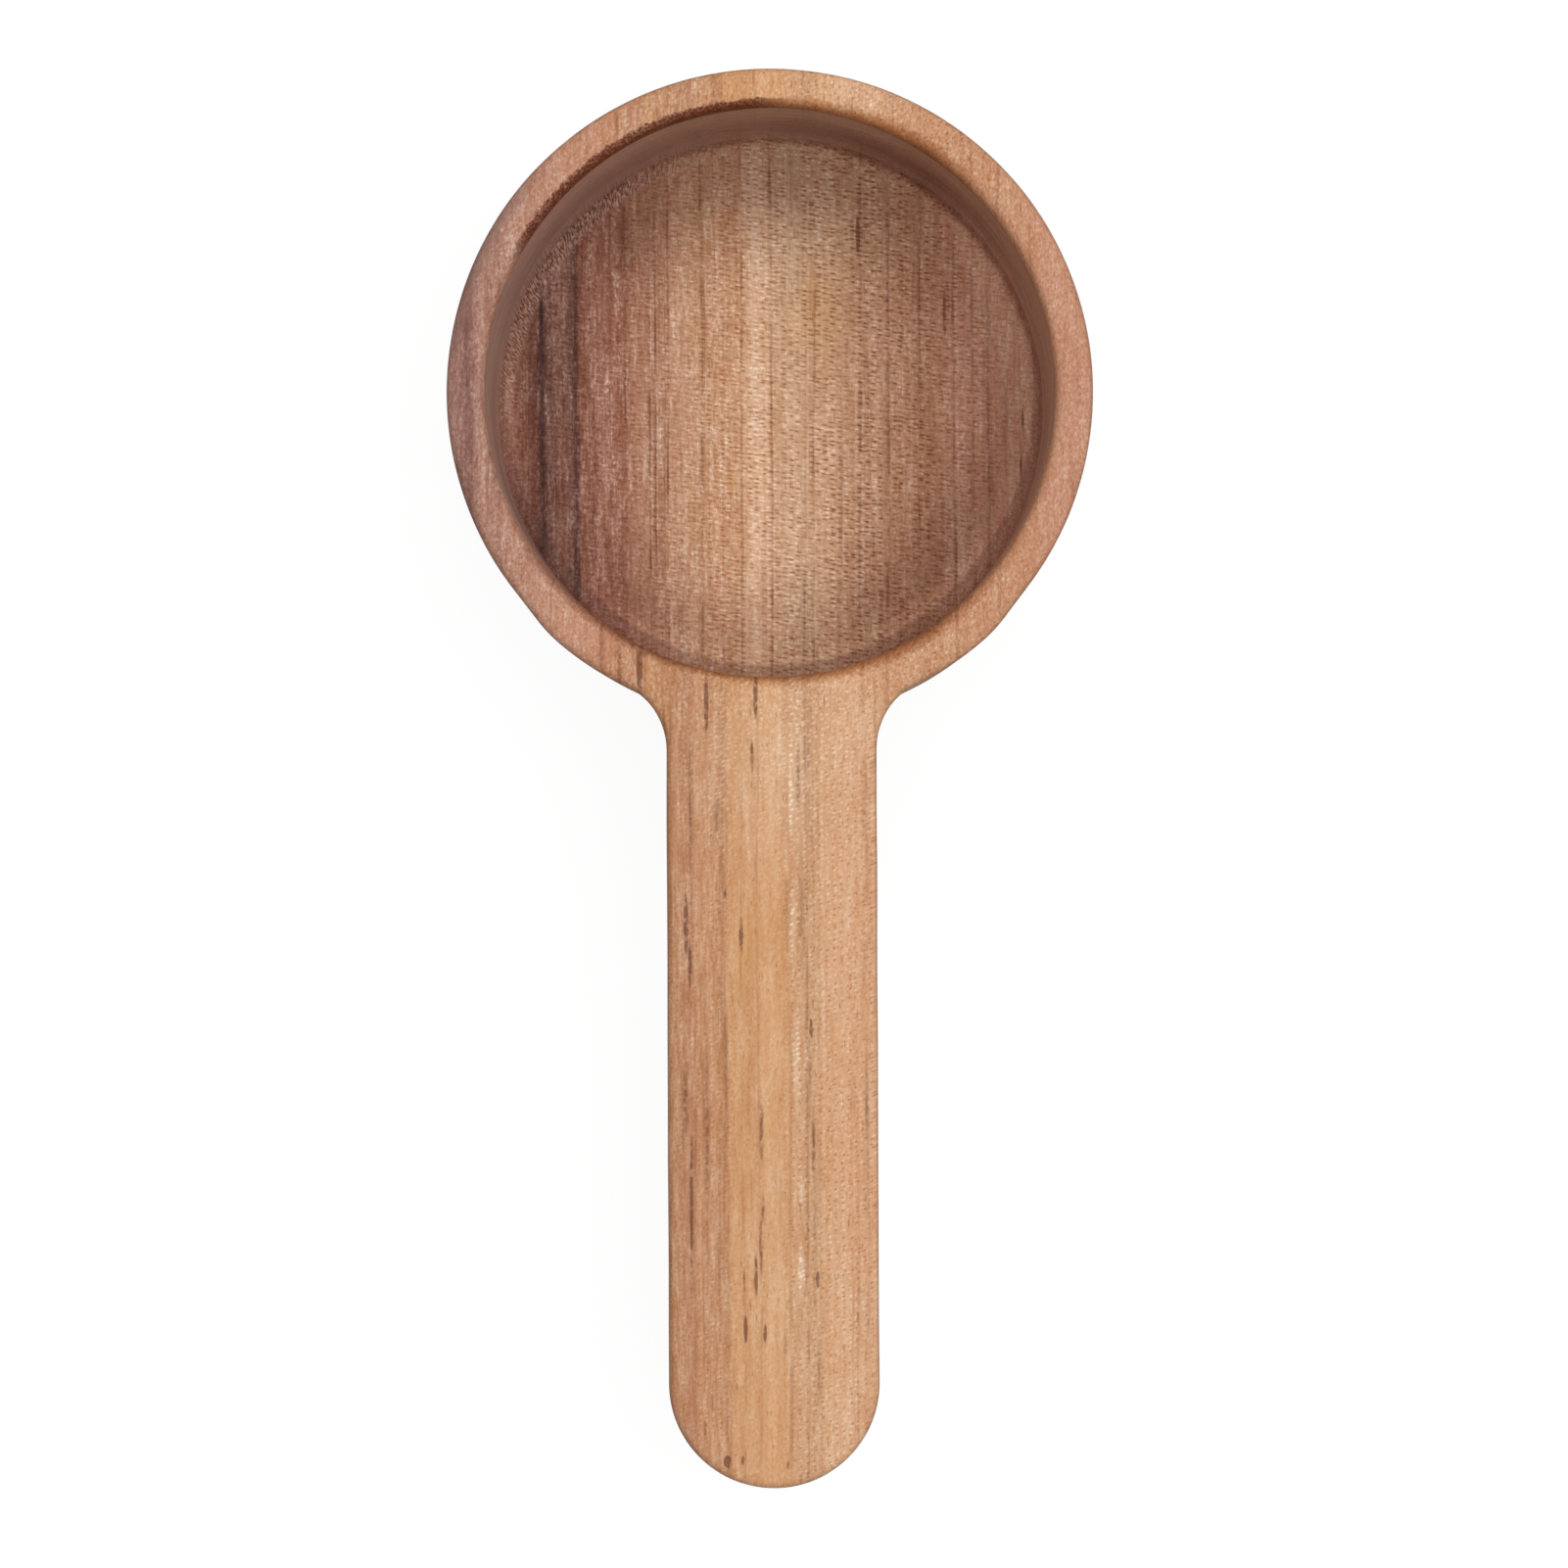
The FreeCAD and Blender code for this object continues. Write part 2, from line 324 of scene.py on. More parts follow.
# Oiled acacia, bored with a flat cutter and sanded by hand. The eye sees honey and rose bands that run along
# the handle, a dark vein on the left, thin brown growth lines, rows of short ray dashes across the grain,
# dark pores and resin streaks along it, pale fibres, a darker strip on the left of the rim's outer edge, and
# what the cutter left: a scorch line on the bore's edge and torn grain round the floor. Light and shade are
# painted in too: painted shade on the floor beside the wall, in the corner at the wall's foot, on the bore's
# wall, along the bore's edge and on the outer sides; a painted shadow line on the lower left of the bore's
# edge; painted light at the wall's foot; a painted reflection of the room on the wall; and painted glints on
# the pale fibres. Lengths in these tables are millimetres.

# Colour across the grain at rim level: place from the cup's axis, and the wood's colour there.
RIM_BANDS = [
    (-33, "#dcb8a2"), (-27.5, "#c19b88"), (-25.2, "#a57f73"), (-24, "#9c776d"),
    (-23.2, "#b58d7b"), (-21.2, "#b78d79"), (-17, "#c69981"), (-12.4, "#c8987a"),
    (-10.4, "#c19273"), (-9.8, "#c79872"), (-7.8, "#c29371"), (-6.8, "#be8f6f"),
    (-5.9, "#ca9b78"), (-4.6, "#c99b78"), (-3.8, "#c4946f"), (-3.3, "#d1a176"),
    (-1.5, "#cf9e74"), (-0.3, "#d8a97f"), (0.9, "#d2a278"), (2, "#d0a47f"),
    (3.1, "#cca07b"), (4.2, "#d6a983"), (6, "#d7a984"), (8.6, "#d2a480"),
    (12, "#c89976"), (17, "#c59371"), (24, "#c6967b"), (28, "#b9876e"),
]
# The same on the hollow's floor. The darker stretch about 8 to 13 mm right of the axis is partly the wood's
# own tone and partly painted shade from the right wall.
FLOOR_BANDS = [
    (-23, "#d2aa94"), (-21.5, "#a87c6a"), (-19.7, "#855c4e"), (-19.2, "#62443f"),
    (-18.7, "#886357"), (-17.5, "#98705f"), (-16.8, "#8c685b"), (-16.4, "#6c4b44"),
    (-16, "#986957"), (-14.2, "#a87b68"), (-12.6, "#a77963"), (-11.4, "#b78d75"),
    (-9.2, "#bd957b"), (-8.6, "#c59d81"), (-7.2, "#cca68a"), (-6.2, "#c69f7f"),
    (-4.6, "#d0a88a"), (-3, "#c89d7b"), (-2.2, "#cca280"), (-1.4, "#d8b191"),
    (-0.4, "#d6b090"), (0.4, "#cca686"), (2.4, "#cda989"), (5, "#c8a181"),
    (8, "#b98f71"), (13, "#a97b5e"), (17, "#bb8c72"), (22, "#b98970"),
]
# The places between which the bands are spread.
BAND_LOW, BAND_HIGH = -36.0, 29.0
# The rings curve: left of this start they come in with the square of the distance from it, most on the floor.
RING_START, RING_LEAN = -2.0, 0.0285
# How much of the grain's waviness the streaks and rays share.
STREAK_WAVE = 0.35

# Growth lines: place across the grain at rim level, half width, strength at rim level and on the floor. Each
# row of the table shares one ramp, because a ramp blurs what is finer than 1/256 of its range.
LINES_PER_RAMP = 4
GROWTH_LINES = [
    (-27.5, 0.36, 0, 0.7), (-24.3, 0.22, 0.7, 0.3), (-22.6, 0.16, 0.5, 0.3), (-21.9, 0.26, 0.3, 0.7),
    (-17.4, 0.12, 0.4, 0.4), (-15.3, 0.22, 0.2, 1), (-12.2, 0.17, 0.7, 0.9), (-11.5, 0.18, 0.2, 0.9),
    (-10.4, 0.13, 0.3, 0.8), (-10, 0.22, 0.1, 1), (-8.1, 0.08, 0.3, 0.2), (-6.3, 0.14, 0.4, 0.7),
    (-4, 0.12, 0.35, 0.2), (-2.5, 0.12, 0.3, 0.65), (-1.2, 0.1, 0.4, 0.1), (0.1, 0.13, 0.1, 0.7),
    (1.3, 0.08, 0.3, 0.2), (2.7, 0.14, 0.5, 0.2), (3.7, 0.14, 0.2, 0.7), (7.6, 0.17, 0.4, 0.75),
    (10, 0.16, 0.3, 0.75), (12.7, 0.17, 0.4, 0.8), (15.7, 0.15, 0.3, 0.75), (17.3, 0.13, 0.1, 0.6),
    (18.5, 0.17, 0.4, 0.75), (21.2, 0.1, 0.2, 0.4),
]
# A line comes in over so many half widths and goes out over one. A ramp reaches past its outer lines.
LINE_RISE = 2
RAMP_MARGIN = 1.0

# Single streaks, first at rim level and then on the floor: place across and along the grain, half length,
# half width and strength. Dark resin streaks:
RESIN_STREAKS = (
    [
        (-12.1, -22, 2.6, 0.2, 0.7), (-10.5, -22, 3, 0.31, 1.2), (-5.2, -25, 2.7, 0.22, 1.8),
        (-1.3, -24.4, 2.2, 0.2, 1.8), (-1.6, -29.2, 1.5, 0.17, 1.4), (2.1, -31, 3.6, 0.26, 0.45),
        (4.3, -24.7, 0.7, 0.13, 0.5), (-6.5, -33, 7, 0.18, 0.5), (-4.4, -34.2, 2.2, 0.45, 0.35),
        (-3.8, -40.2, 0.5, 0.18, 0.7), (-6.9, -42.8, 3.2, 0.23, 1.8), (-6.6, -45.8, 2.2, 0.21, 1.3),
        (-2.5, -43.6, 1.8, 0.22, 1.2), (-3.8, -54, 9, 0.21, 0.4), (-7.05, -56.8, 4, 0.3, 0.6),
        (-5.3, -60.5, 9.5, 0.28, 0.45), (-6.55, -65, 6.4, 0.18, 1.4), (-0.95, -59.2, 3.8, 0.24, 0.75),
        (-0.9, -65.5, 1.3, 0.21, 0.7), (-1.1, -68.8, 2.8, 0.22, 0.7), (-1.5, -70.9, 2, 0.18, 1.5),
        (-2.4, -71.2, 1.4, 0.13, 0.6), (-2.35, -75.1, 1.3, 0.18, 2), (-0.8, -75.4, 0.9, 0.18, 2),
        (0.85, -76.4, 1.7, 0.23, 0.35), (3.05, -51.1, 1.2, 0.18, 1.5), (3.2, -60.3, 3, 0.23, 0.7),
        (3.5, -71.1, 0.8, 0.17, 2), (3.55, -78.5, 4.5, 0.21, 0.4), (2.3, -41.5, 6.5, 0.36, 0.3),
        (2.9, -54.5, 6, 0.32, 0.3), (3.3, -67, 6.5, 0.3, 0.25), (7.55, -57.7, 3.6, 0.24, 0.5),
        (-5.6, -83, 0.8, 0.18, 0.6), (-5, -81, 1, 0.16, 0.5), (-3.85, -85.7, 0.55, 0.36, 3),
        (-2.6, -85.6, 0.5, 0.17, 1.2), (1.05, -86, 0.5, 0.16, 0.6),
    ],
    [
        (7.4, 14.8, 1.8, 0.21, 3.5), (14.8, 8.2, 2.4, 0.2, 1.3), (21.3, -0.7, 2, 0.16, 0.9),
        (21.1, -4.8, 1.2, 0.14, 0.8),
    ],
)
# Pale fibres, partly painted glints where the grain catches the light:
PALE_GLINT_STREAKS = (
    [
        (1.45, -31.6, 5.8, 0.34, 1), (1.6, -42.5, 4, 0.4, 0.6), (1.9, -53.2, 5, 0.4, 0.6),
        (2.2, -63.9, 1.2, 0.24, 1), (2.2, -70.6, 2.6, 0.36, 1), (0.5, -29.5, 11, 9.5, 0.24),
    ],
    [(-1.2, 3, 12, 0.5, 0.25)],
)
# Honey-coloured oil spots:
OIL_SPOTS = (
    [(3.9, -31.5, 4, 0.7, 0.4), (-2.2, -44.5, 5, 1.1, 0.4), (-0.6, -59, 1.2, 0.9, 0.5)],
    [(3.6, 8.5, 6.5, 3, 0.4), (-3.3, -6, 1.2, 0.7, 0.5)],
)
# How far a streak reaches into the wood, and how steeply it fades in from its outline.
STREAK_DEPTH = 6.0
STREAK_RISE = 1.8
# The most that resin covers, the strength of the oil spots, and how rays break up the pale fibres' painted
# glints.
RESIN_MOST = 0.72
OIL_STRENGTH = 0.6
GLINT_BREAK = (0, 0.16, 0.25, 1)

# Patterns: size across, along and up the grain, detail and roughness of the noise, and which part of it is
# spread between which two strengths. First what bends the grain, then what lightens and darkens it.
SLOW_WARP = ((9, 40, 9), 1, 0.5, (0, 1, -0.55, 0.55))
FINE_WARP = ((2, 9, 2), 1, 0.5, (0, 1, -0.15, 0.15))
FIBRE = ((0.55, 5, 0.55), 2, 0.62, (0.25, 0.75, -0.17, 0.17))
BAND = ((2.6, 60, 2.6), 2, 0.62, (0.25, 0.75, -0.1, 0.1))
PATCH = ((5, 11, 5), 2, 0.62, (0.25, 0.75, -0.09, 0.09))
STRAND = ((0.3, 2.6, 0.3), 2, 0.62, (0.25, 0.75, -0.34, 0.12))
# Sanding grit leaves a fine speckle.
SPECKLE = ((0.18, 0.34, 0.18), 2, 0.62, (0.25, 0.75, -0.28, 0.18))
PORE = ((0.22, 1.1, 0.4), 1, 0.5, (0.66, 0.76, 0, 0.6))
FAINT_LINE = ((0.5, 45, 1.2), 2, 0.5, (0.56, 0.74, 0, 0.5))
LINE_BREAK = ((1.2, 4, 1.2), 3, 0.5, (0.38, 0.62, 0.1, 1))
STREAK_BREAK = ((0.35, 0.7, 0.5), 2, 0.5, (0.36, 0.54, 0.2, 0.78))
RAY_COLUMN = ((0.9, 14, 0.9), 1, 0.5, (0.3, 0.55, 0.5, 1))
# The bore's edge is ragged, and its scorched line is specked.
RAGGED = ((0.384615, 0.384615, 0.384615), 3, 0.5, (0, 1, 0, 0.9))
SPECKS = ((0.2, 0.2, 0.2), 1, 0.5, (0.4, 0.56, 0.65, 1))
# Round the bore: torn strokes, by pitch and length, and the cutter's marks on the wall, along it and up.
TEAR = ((0.15, 0.38, 1), 1, 0.5, (0.38, 0.62, -1, 1))
BURNISH = ((7, 0.4, 1), 2, 0.5, (0.3, 0.7, -0.45, 0.3))
TEAR_SLANT = 0.6
# How strong the straight fibres and the speckle are: plain, and what the floor's left half and the rim add.
STRAIGHT = (1, 0.5, -0.5)
GRIT = (0.85, 0.9, 0.7)

# Rays are cut across as rows of dashes, one in each cell: cell across and along, half length at rim level
# and on the floor, strength at both, a shift that keeps the two kinds apart, and where they show. First the
# dark ends, then the pale wood between them.
RAYS = [
    (0.58, 0.4, 0.14, 0.3, 0.55, 1, 0, "dark_rays_by"),
    (0.5, 0.4, 0.16, 0.28, 0.52, 1, 40.5, "pale_rays_by"),
]
# Half a dash's thickness, how far dashes stray in their cells, how they fade at the outline and by chance.
RAY_THICKNESS = 0.105
RAY_SCATTER = 0.75
RAY_OUTLINE = (1.2, 0.4, 0, 1)
RAY_CHANCE = (0.1, 0.6, 0, 1)
# How the rows lean across the grain, and how they move across and along it with the height.
RAY_LEAN_RIM, RAY_LEAN_FLOOR = -0.3, 0.14
RAY_RISE_ACROSS, RAY_RISE_ALONG = 0.8, 0.3
# The honey band's middle, and how the rays come in beside it.
HONEY_MIDDLE = -1.2
HONEY_SPREAD = (1.6, 2.8, 0.35, 1)

# How much wider the painted shade along the bore's edge gets towards the right, and the painted shade in the
# corner at the wall's foot towards the handle, between two places across and along.
EDGE_WIDER = (-10, 10, 0, 0.6)
CORNER_SHADE_WIDER = (5, -12, 0, 1)

# Masks: the measure that each goes by, two values of it, the strength at both, and the way between them.
MASKS = {
    "deep": ("depth", 0.2, 0.8, 0, 1, SOFT),
    "left": ("across", -2, -4.5, 0.2, 1, EVEN),
    "strand_depth": ("deep", 0, 1, 1, 1.25, EVEN),
    "dark_rays_across": ("across", -8, 6, 0.55, 1, EVEN),
    "pale_rays_across": ("across", -9, 2, 0.7, 1, EVEN),
    "before_right_wall": ("x", 13, 21, 1, 0.35, EVEN),
    # How much of the painted reflection of the room the wall takes, less to the right:
    "wall_reflection_across": ("x", -12, 12, 0.6, 0.42, EVEN),
    # Painted shade along the bore's rounded edge, none at the far left and little at the far right:
    "bore_edge_shade_line": ("soft_bore", 1.15, 0.35, 0, 1, SOFT),
    "edge_left": ("x", -14, -20, 1, 0, EVEN),
    "edge_right": ("x", 13, 20, 1, 0.15, EVEN),
    "scorch_line": ("ragged_bore", 1.26, 1.06, 0, 1, EVEN),
    "side_line": ("ragged_side", -0.9, -0.3, 0, 1, SOFT),
    "top": ("below_rim", 1.5, 1, 0, 1, EVEN),
    "below_top": ("below_rim", 0.2, 0.8, 0, 1, EVEN),
    "below_edge": ("below_rim", 0.6, 1.6, 0, 1, EVEN),
    "out_of_bore": ("past_bore", -0.2, 0.2, 0, 1, EVEN),
    "within_side": ("past_side", 0.8, 0.2, 0, 1, EVEN),
    "in_bore": ("past_bore", 0.35, 0.1, 0, 1, EVEN),
    "over_base": ("above_floor", -1.5, -0.5, 0, 1, EVEN),
    "over_corner": ("above_floor", 0.5, 1.6, 0, 1, EVEN),
    # The corner at the wall's foot, where painted shade goes:
    "corner": ("near_bore", -0.7, -0.1, 0, 1, SOFT),
    "sunk": ("above_floor", 2.2, 0.7, 0, 1, EVEN),
    "foot": ("above_floor", 5.6, 2.8, 0, 1, SOFT),
    "fringe": ("above_floor", 6, 3.2, 0, 1, SOFT),
    "torn_ring": ("past_bore", -1.5, -0.9, 0, 1, SOFT),
    # The ring at the wall's foot that takes painted light:
    "painted_foot_light_ring": ("past_bore", -3.2, -1.6, 0, 1, SOFT),
    # The floor beside the wall, where painted shade goes, easing off right at the wall:
    "floor_shade_ring": ("past_bore", -12, 0, 0, 1, SOFT),
    "floor_shade_end": ("past_bore", -4.2, -1.6, 1, 0.5, EVEN),
    # Painted shade on the bore's wall, weaker near the floor and near the rim:
    "wall_shade_foot": ("above_floor", 2, 6, 0.2, 1, EVEN),
    "wall_shade_top": ("below_rim", 4, 9, 0.25, 1, EVEN),
}
# Masks towards one angle round the bore: the angle from +X, how far from it they end and are full, all in
# degrees, the strength at both and the way between them.
ARCS = {
    "hot": (120, 36, 26, 0, 1, SOFT),
    # A painted shadow line on the lower left of the bore's edge:
    "warm": (-129, 26, 14, 0, 0.4, SOFT),
    # The left of the rim, from about 134 to 174 degrees:
    "worn": (154, 20, 10, 0, 0.6, EVEN),
    "rough": (144, 42, 15, 0.2, 1, EVEN),
    # How strong the painted shade in the corner is, weaker towards the upper left:
    "corner_shade_by_turn": (144, 42, 15, 1, 0.2, EVEN),
    "fraying": (144, 40, 12, 0, 0.85, EVEN),
}
# Masks that change all round the bore: degrees from +X, and strength. Painted shade on the floor beside the
# wall, painted light at the wall's foot, and how dark the painted shade on the wall is.
ROUNDS = {
    "floor_shade_round": [
        (-180, 0.45), (-150, 0.3), (-120, 0.7), (-90, 0.4), (-60, 0.5), (-30, 0.8), (0, 0.2), (30, 0),
        (50, 0.1), (70, 0.7), (90, 1.25), (110, 0.9), (130, 0.85), (150, 0), (165, 0.45), (180, 0.45),
    ],
    "painted_foot_light_round": [
        (-180, 0.1), (-150, 0.25), (-120, 0.4), (-90, 0), (-60, 0.55), (-30, 0.35), (0, 0.25), (30, 0.6),
        (50, 0.35), (70, 0.15), (90, 0), (135, 0), (150, 0.35), (168, 0), (180, 0.1),
    ],
    "wall_shade_round": [
        (-180, 0.35), (-160, 0.6), (-140, 0.9), (-80, 0.8), (-45, 0.4), (-20, 0.1), (25, 0.15), (50, 0.8),
        (70, 0.95), (90, 0.65), (112, 0.5), (130, 0.5), (150, 0.3), (168, 0), (180, 0.35),
    ],
}
# What shows is where its masks meet. A later row may use an earlier one.
MARKS = {
    "floor_left": ("left", "deep"),
    "strands": ("left", "strand_depth"),
    "dark_rays_by": ("dark_rays_across", "before_right_wall"),
    "pale_rays_by": ("pale_rays_across", "before_right_wall"),
    # Painted shade along the bore's rounded edge, on the top:
    "edge": ("bore_edge_shade_line", "edge_left", "edge_right", "top"),
    # A scorch line at the upper left and a painted shadow line at the lower left, both on the bore's edge:
    "scorch": ("scorch_line", "scorch_and_shadow_arcs", "top", "specks"),
    # A darker strip just inside the rim's outer edge on the left:
    "left_outer_dark": ("side_line", "worn", "top"),
    "on_rim": ("out_of_bore", "within_side"),
    # Painted shade on the outer sides and their rounded edges, below the top:
    "side": ("below_top", "outside"),
    "inside": ("hollow", "below_edge"),
    "wall": ("inside", "over_corner"),
    # A painted reflection of the pale room on the bore's wall:
    "painted_wall_reflection": ("wall", "wall_reflection_across"),
    # Painted shade on the bore's wall, changing round it:
    "rubbed": ("wall_shade_foot", "wall", "wall_shade_top", "wall_shade_round"),
    # Painted shade in the corner where the wall meets the floor:
    "painted_corner_shade": ("corner", "sunk", "inside", "corner_shade_by_turn"),
    "ring": ("torn_ring", "inside", "foot", "rough"),
    "tears": ("stroke", "ring"),
    "frayed": ("fraying", "wall", "fringe", "uneven"),
    # Painted shade on the floor, darker towards the wall and strongest at the back:
    "oiled": ("floor_shade_ring", "inside", "floor_shade_end", "deep", "floor_shade_round"),
    # Painted light at the wall's foot, changing round it:
    "painted_foot_light": ("painted_foot_light_ring", "inside", "foot", "painted_foot_light_round"),
}
# How far the strokes change the frayed foot of the wall, and its strength without them.
FRAY_CHANGE, FRAY_PLAIN = 0.25, 0.85
# How strongly the torn ring takes its own colour, and how much darker its strokes are.
TORN_STRENGTH, TEAR_SHADE = 0.6, 0.25
# How much brighter pale rays, torn fibres and the painted light at the wall's foot make red, green and blue.
RAY_GAIN = (0.42, 0.6, 0.8)
TORN_GAIN = (0.75, 0.84, 0.95)
PAINTED_FOOT_LIGHT_GAIN = (0.55, 0.68, 0.78)
# Depth of the bump that pores, rays and tears make, the rays' part of it, and how lighter wood is smoother.
BUMP_DEPTH = 0.03
RAY_BUMP = 0.5
SHEEN_LEVELS, SHEEN = (0.75, 1.25), 0.08
WOOD_IOR = 1.5


def pattern(tree, place, rule, dimensions="3D"):
    """One of the patterns above, as noise that is stretched to its size and spread between its strengths."""
    size, detail, roughness, spread = rule
    squeezed = add(tree, VECTOR, [place, size], operation="DIVIDE")
    noise = {"Vector": squeezed, "Scale": 1.0, "Detail": detail, "Roughness": roughness}
    return add(tree, RANGE, [add(tree, NOISE, noise, noise_dimensions=dimensions), *spread])


def grain_space(tree, sizes):
    """Measures of a place in the wood by name: along the axes, across the rings, from the cup's faces."""
    object_place = add(tree, "ShaderNodeTexCoord", out="Object")
    place = add(tree, VECTOR, {0: object_place, "Scale": 1 / MM}, operation="SCALE")
    x, y, z = add(tree, SPLIT, [place]).node.outputs
    rim = sizes.cup_height / MM
    floor = sizes.floor_thickness / MM
    cup = sizes.cup_diameter / 2 / MM
    bore = cup - sizes.rim_width / MM
    depth = add(tree, RANGE, [z, rim, floor, 0.0, 1.0], clamp=False)
    turn = add(tree, MATH, [y, x], operation="ARCTAN2")
    flat = add(tree, VECTOR, [place, (1.0, 1.0, 0.0)], operation="MULTIPLY")
    reach = add(tree, VECTOR, [flat], out="Value", operation="LENGTH")

    left = add(tree, MATH, [RING_START, x], operation="SUBTRACT")
    left = add(tree, MATH, [left, 0.0], operation="MAXIMUM")
    curve = add(tree, MATH, [left, left], operation="MULTIPLY")
    curve = add(tree, MATH, [curve, depth], operation="MULTIPLY")
    across = add(tree, MATH, [curve, -RING_LEAN, x], operation="MULTIPLY_ADD")
    for warp in (SLOW_WARP, FINE_WARP):
        wave = pattern(tree, place, warp)
        across = add(tree, MATH, [across, wave], operation="ADD")
        x = add(tree, MATH, [wave, STREAK_WAVE, x], operation="MULTIPLY_ADD")
    space = {"place": place, "x": x, "y": y, "z": z, "rim": rim, "floor": floor, "cup": cup, "bore": bore,
             "depth": depth, "turn": turn, "reach": reach, "across": across}

    space["ragged"] = pattern(tree, place, RAGGED)
    space["wider_edge"] = add(tree, RANGE, [x, *EDGE_WIDER])
    space["wider_dirt"] = add(tree, RANGE, [y, *CORNER_SHADE_WIDER])
    for name, first, way, second in (
        ("below_rim", "rim", "SUBTRACT", "z"),
        ("above_floor", "z", "SUBTRACT", "floor"),
        ("past_side", "reach", "SUBTRACT", "cup"),
        ("past_bore", "reach", "SUBTRACT", "bore"),
        ("ragged_side", "past_side", "ADD", "ragged"),
        ("ragged_bore", "past_bore", "ADD", "ragged"),
        ("soft_bore", "ragged_bore", "SUBTRACT", "wider_edge"),
        ("near_bore", "past_bore", "ADD", "wider_dirt"),
    ):
        space[name] = add(tree, MATH, [space[first], space[second]], operation=way)
    return space


def add_masks(tree, space):
    """Add the masks of the tables above to the measures."""
    for name, (measure, *spread, way) in MASKS.items():
        space[name] = add(tree, RANGE, [space[measure], *spread], interpolation_type=way)
    for name, (middle, end, full, *strengths, way) in ARCS.items():
        away = add(tree, MATH, [space["turn"], math.radians(middle)], operation="SUBTRACT")
        away = add(tree, MATH, [away, 0.0], operation="ABSOLUTE")
        limits = [math.radians(end), math.radians(full)]
        space[name] = add(tree, RANGE, [away, *limits, *strengths], interpolation_type=way)
    share = add(tree, RANGE, [space["turn"], -math.pi, math.pi, 0.0, 1.0])
    for name, rows in ROUNDS.items():
        stops = [(degrees / 360 + 0.5, (level, level, level, 1.0)) for degrees, level in rows]
        space[name] = add(tree, RAMP, [share], stops=stops)


def add_marks(tree, space):
    """Add what shows at a place: the cutter's marks in the bore, and where the grain is stronger."""
    space["specks"] = pattern(tree, space["place"], SPECKS)
    # The scorch at the upper left, and the painted shadow line at the lower left.
    space["scorch_and_shadow_arcs"] = add(tree, MATH, [space["hot"], space["warm"]], operation="MAXIMUM")
    space["hollow"] = add(tree, MATH, [space["in_bore"], space["over_base"]], operation="MULTIPLY")
    space["outside"] = add(tree, MATH, [1.0, space["hollow"]], operation="SUBTRACT")

    # The strokes stand round the floor, a little on the slant.
    arc = add(tree, MATH, [space["turn"], space["bore"]], operation="MULTIPLY")
    arc = add(tree, MATH, [space["reach"], TEAR_SLANT, arc], operation="MULTIPLY_ADD")
    strokes = add(tree, JOIN, [arc, space["reach"], 0.0])
    space["stroke"] = pattern(tree, strokes, TEAR, "2D")
    space["uneven"] = add(tree, MATH, [space["stroke"], FRAY_CHANGE, FRAY_PLAIN], operation="MULTIPLY_ADD")

    for name, (first, *others) in MARKS.items():
        mark = space[first]
        for other in others:
            mark = add(tree, MATH, [mark, space[other]], operation="MULTIPLY")
        space[name] = mark


def band_colour(tree, space):
    """Bands across the grain, from the rim's colours to the floor's."""
    share = add(tree, RANGE, [space["across"], BAND_LOW, BAND_HIGH, 0.0, 1.0])
    ramps = []
    for bands, lean in ((RIM_BANDS, 0.0), (FLOOR_BANDS, RING_LEAN)):
        stops = []
        for at, colour in bands:
            ring = at - lean * max(RING_START - at, 0.0) ** 2
            stops.append(((ring - BAND_LOW) / (BAND_HIGH - BAND_LOW), opaque(colour)))
        ramps.append(add(tree, RAMP, [share], stops=stops))
    colours = {MIX_FACTOR: space["deep"], MIX_A: ramps[0], MIX_B: ramps[1]}
    return add(tree, MIX, colours, out=MIX_RESULT, data_type="RGBA")


def growth_lines(tree, space):
    """Strength of the thin growth lines, broken up along the grain."""
    total = None
    for first in range(0, len(GROWTH_LINES), LINES_PER_RAMP):
        lines = GROWTH_LINES[first:first + LINES_PER_RAMP]
        low = lines[0][0] - RAMP_MARGIN
        span = lines[-1][0] + RAMP_MARGIN - low
        stops = []
        for centre, half_width, at_rim, at_floor in lines:
            stops.append(((centre - half_width * LINE_RISE - low) / span, NOTHING))
            stops.append(((centre - low) / span, (at_rim, at_floor, 0.0, 1.0)))
            stops.append(((centre + half_width - low) / span, NOTHING))
        share = add(tree, RANGE, [space["across"], low, low + span, 0.0, 1.0])
        ramp = add(tree, RAMP, [share], stops=stops)
        total = add(tree, VECTOR, [ramp, total], operation="ADD")
    at_rim, at_floor, _ = add(tree, SPLIT, [total]).node.outputs
    levels = {MIX_FACTOR: space["deep"], VALUE_A: at_rim, VALUE_B: at_floor}
    lines = add(tree, MIX, levels, data_type="FLOAT")
    ring_place = add(tree, JOIN, [space["across"], space["y"], space["z"]])
    lines = add(tree, MATH, [lines, pattern(tree, ring_place, FAINT_LINE)], operation="MAXIMUM")
    return add(tree, MATH, [lines, pattern(tree, space["place"], LINE_BREAK)], operation="MULTIPLY")


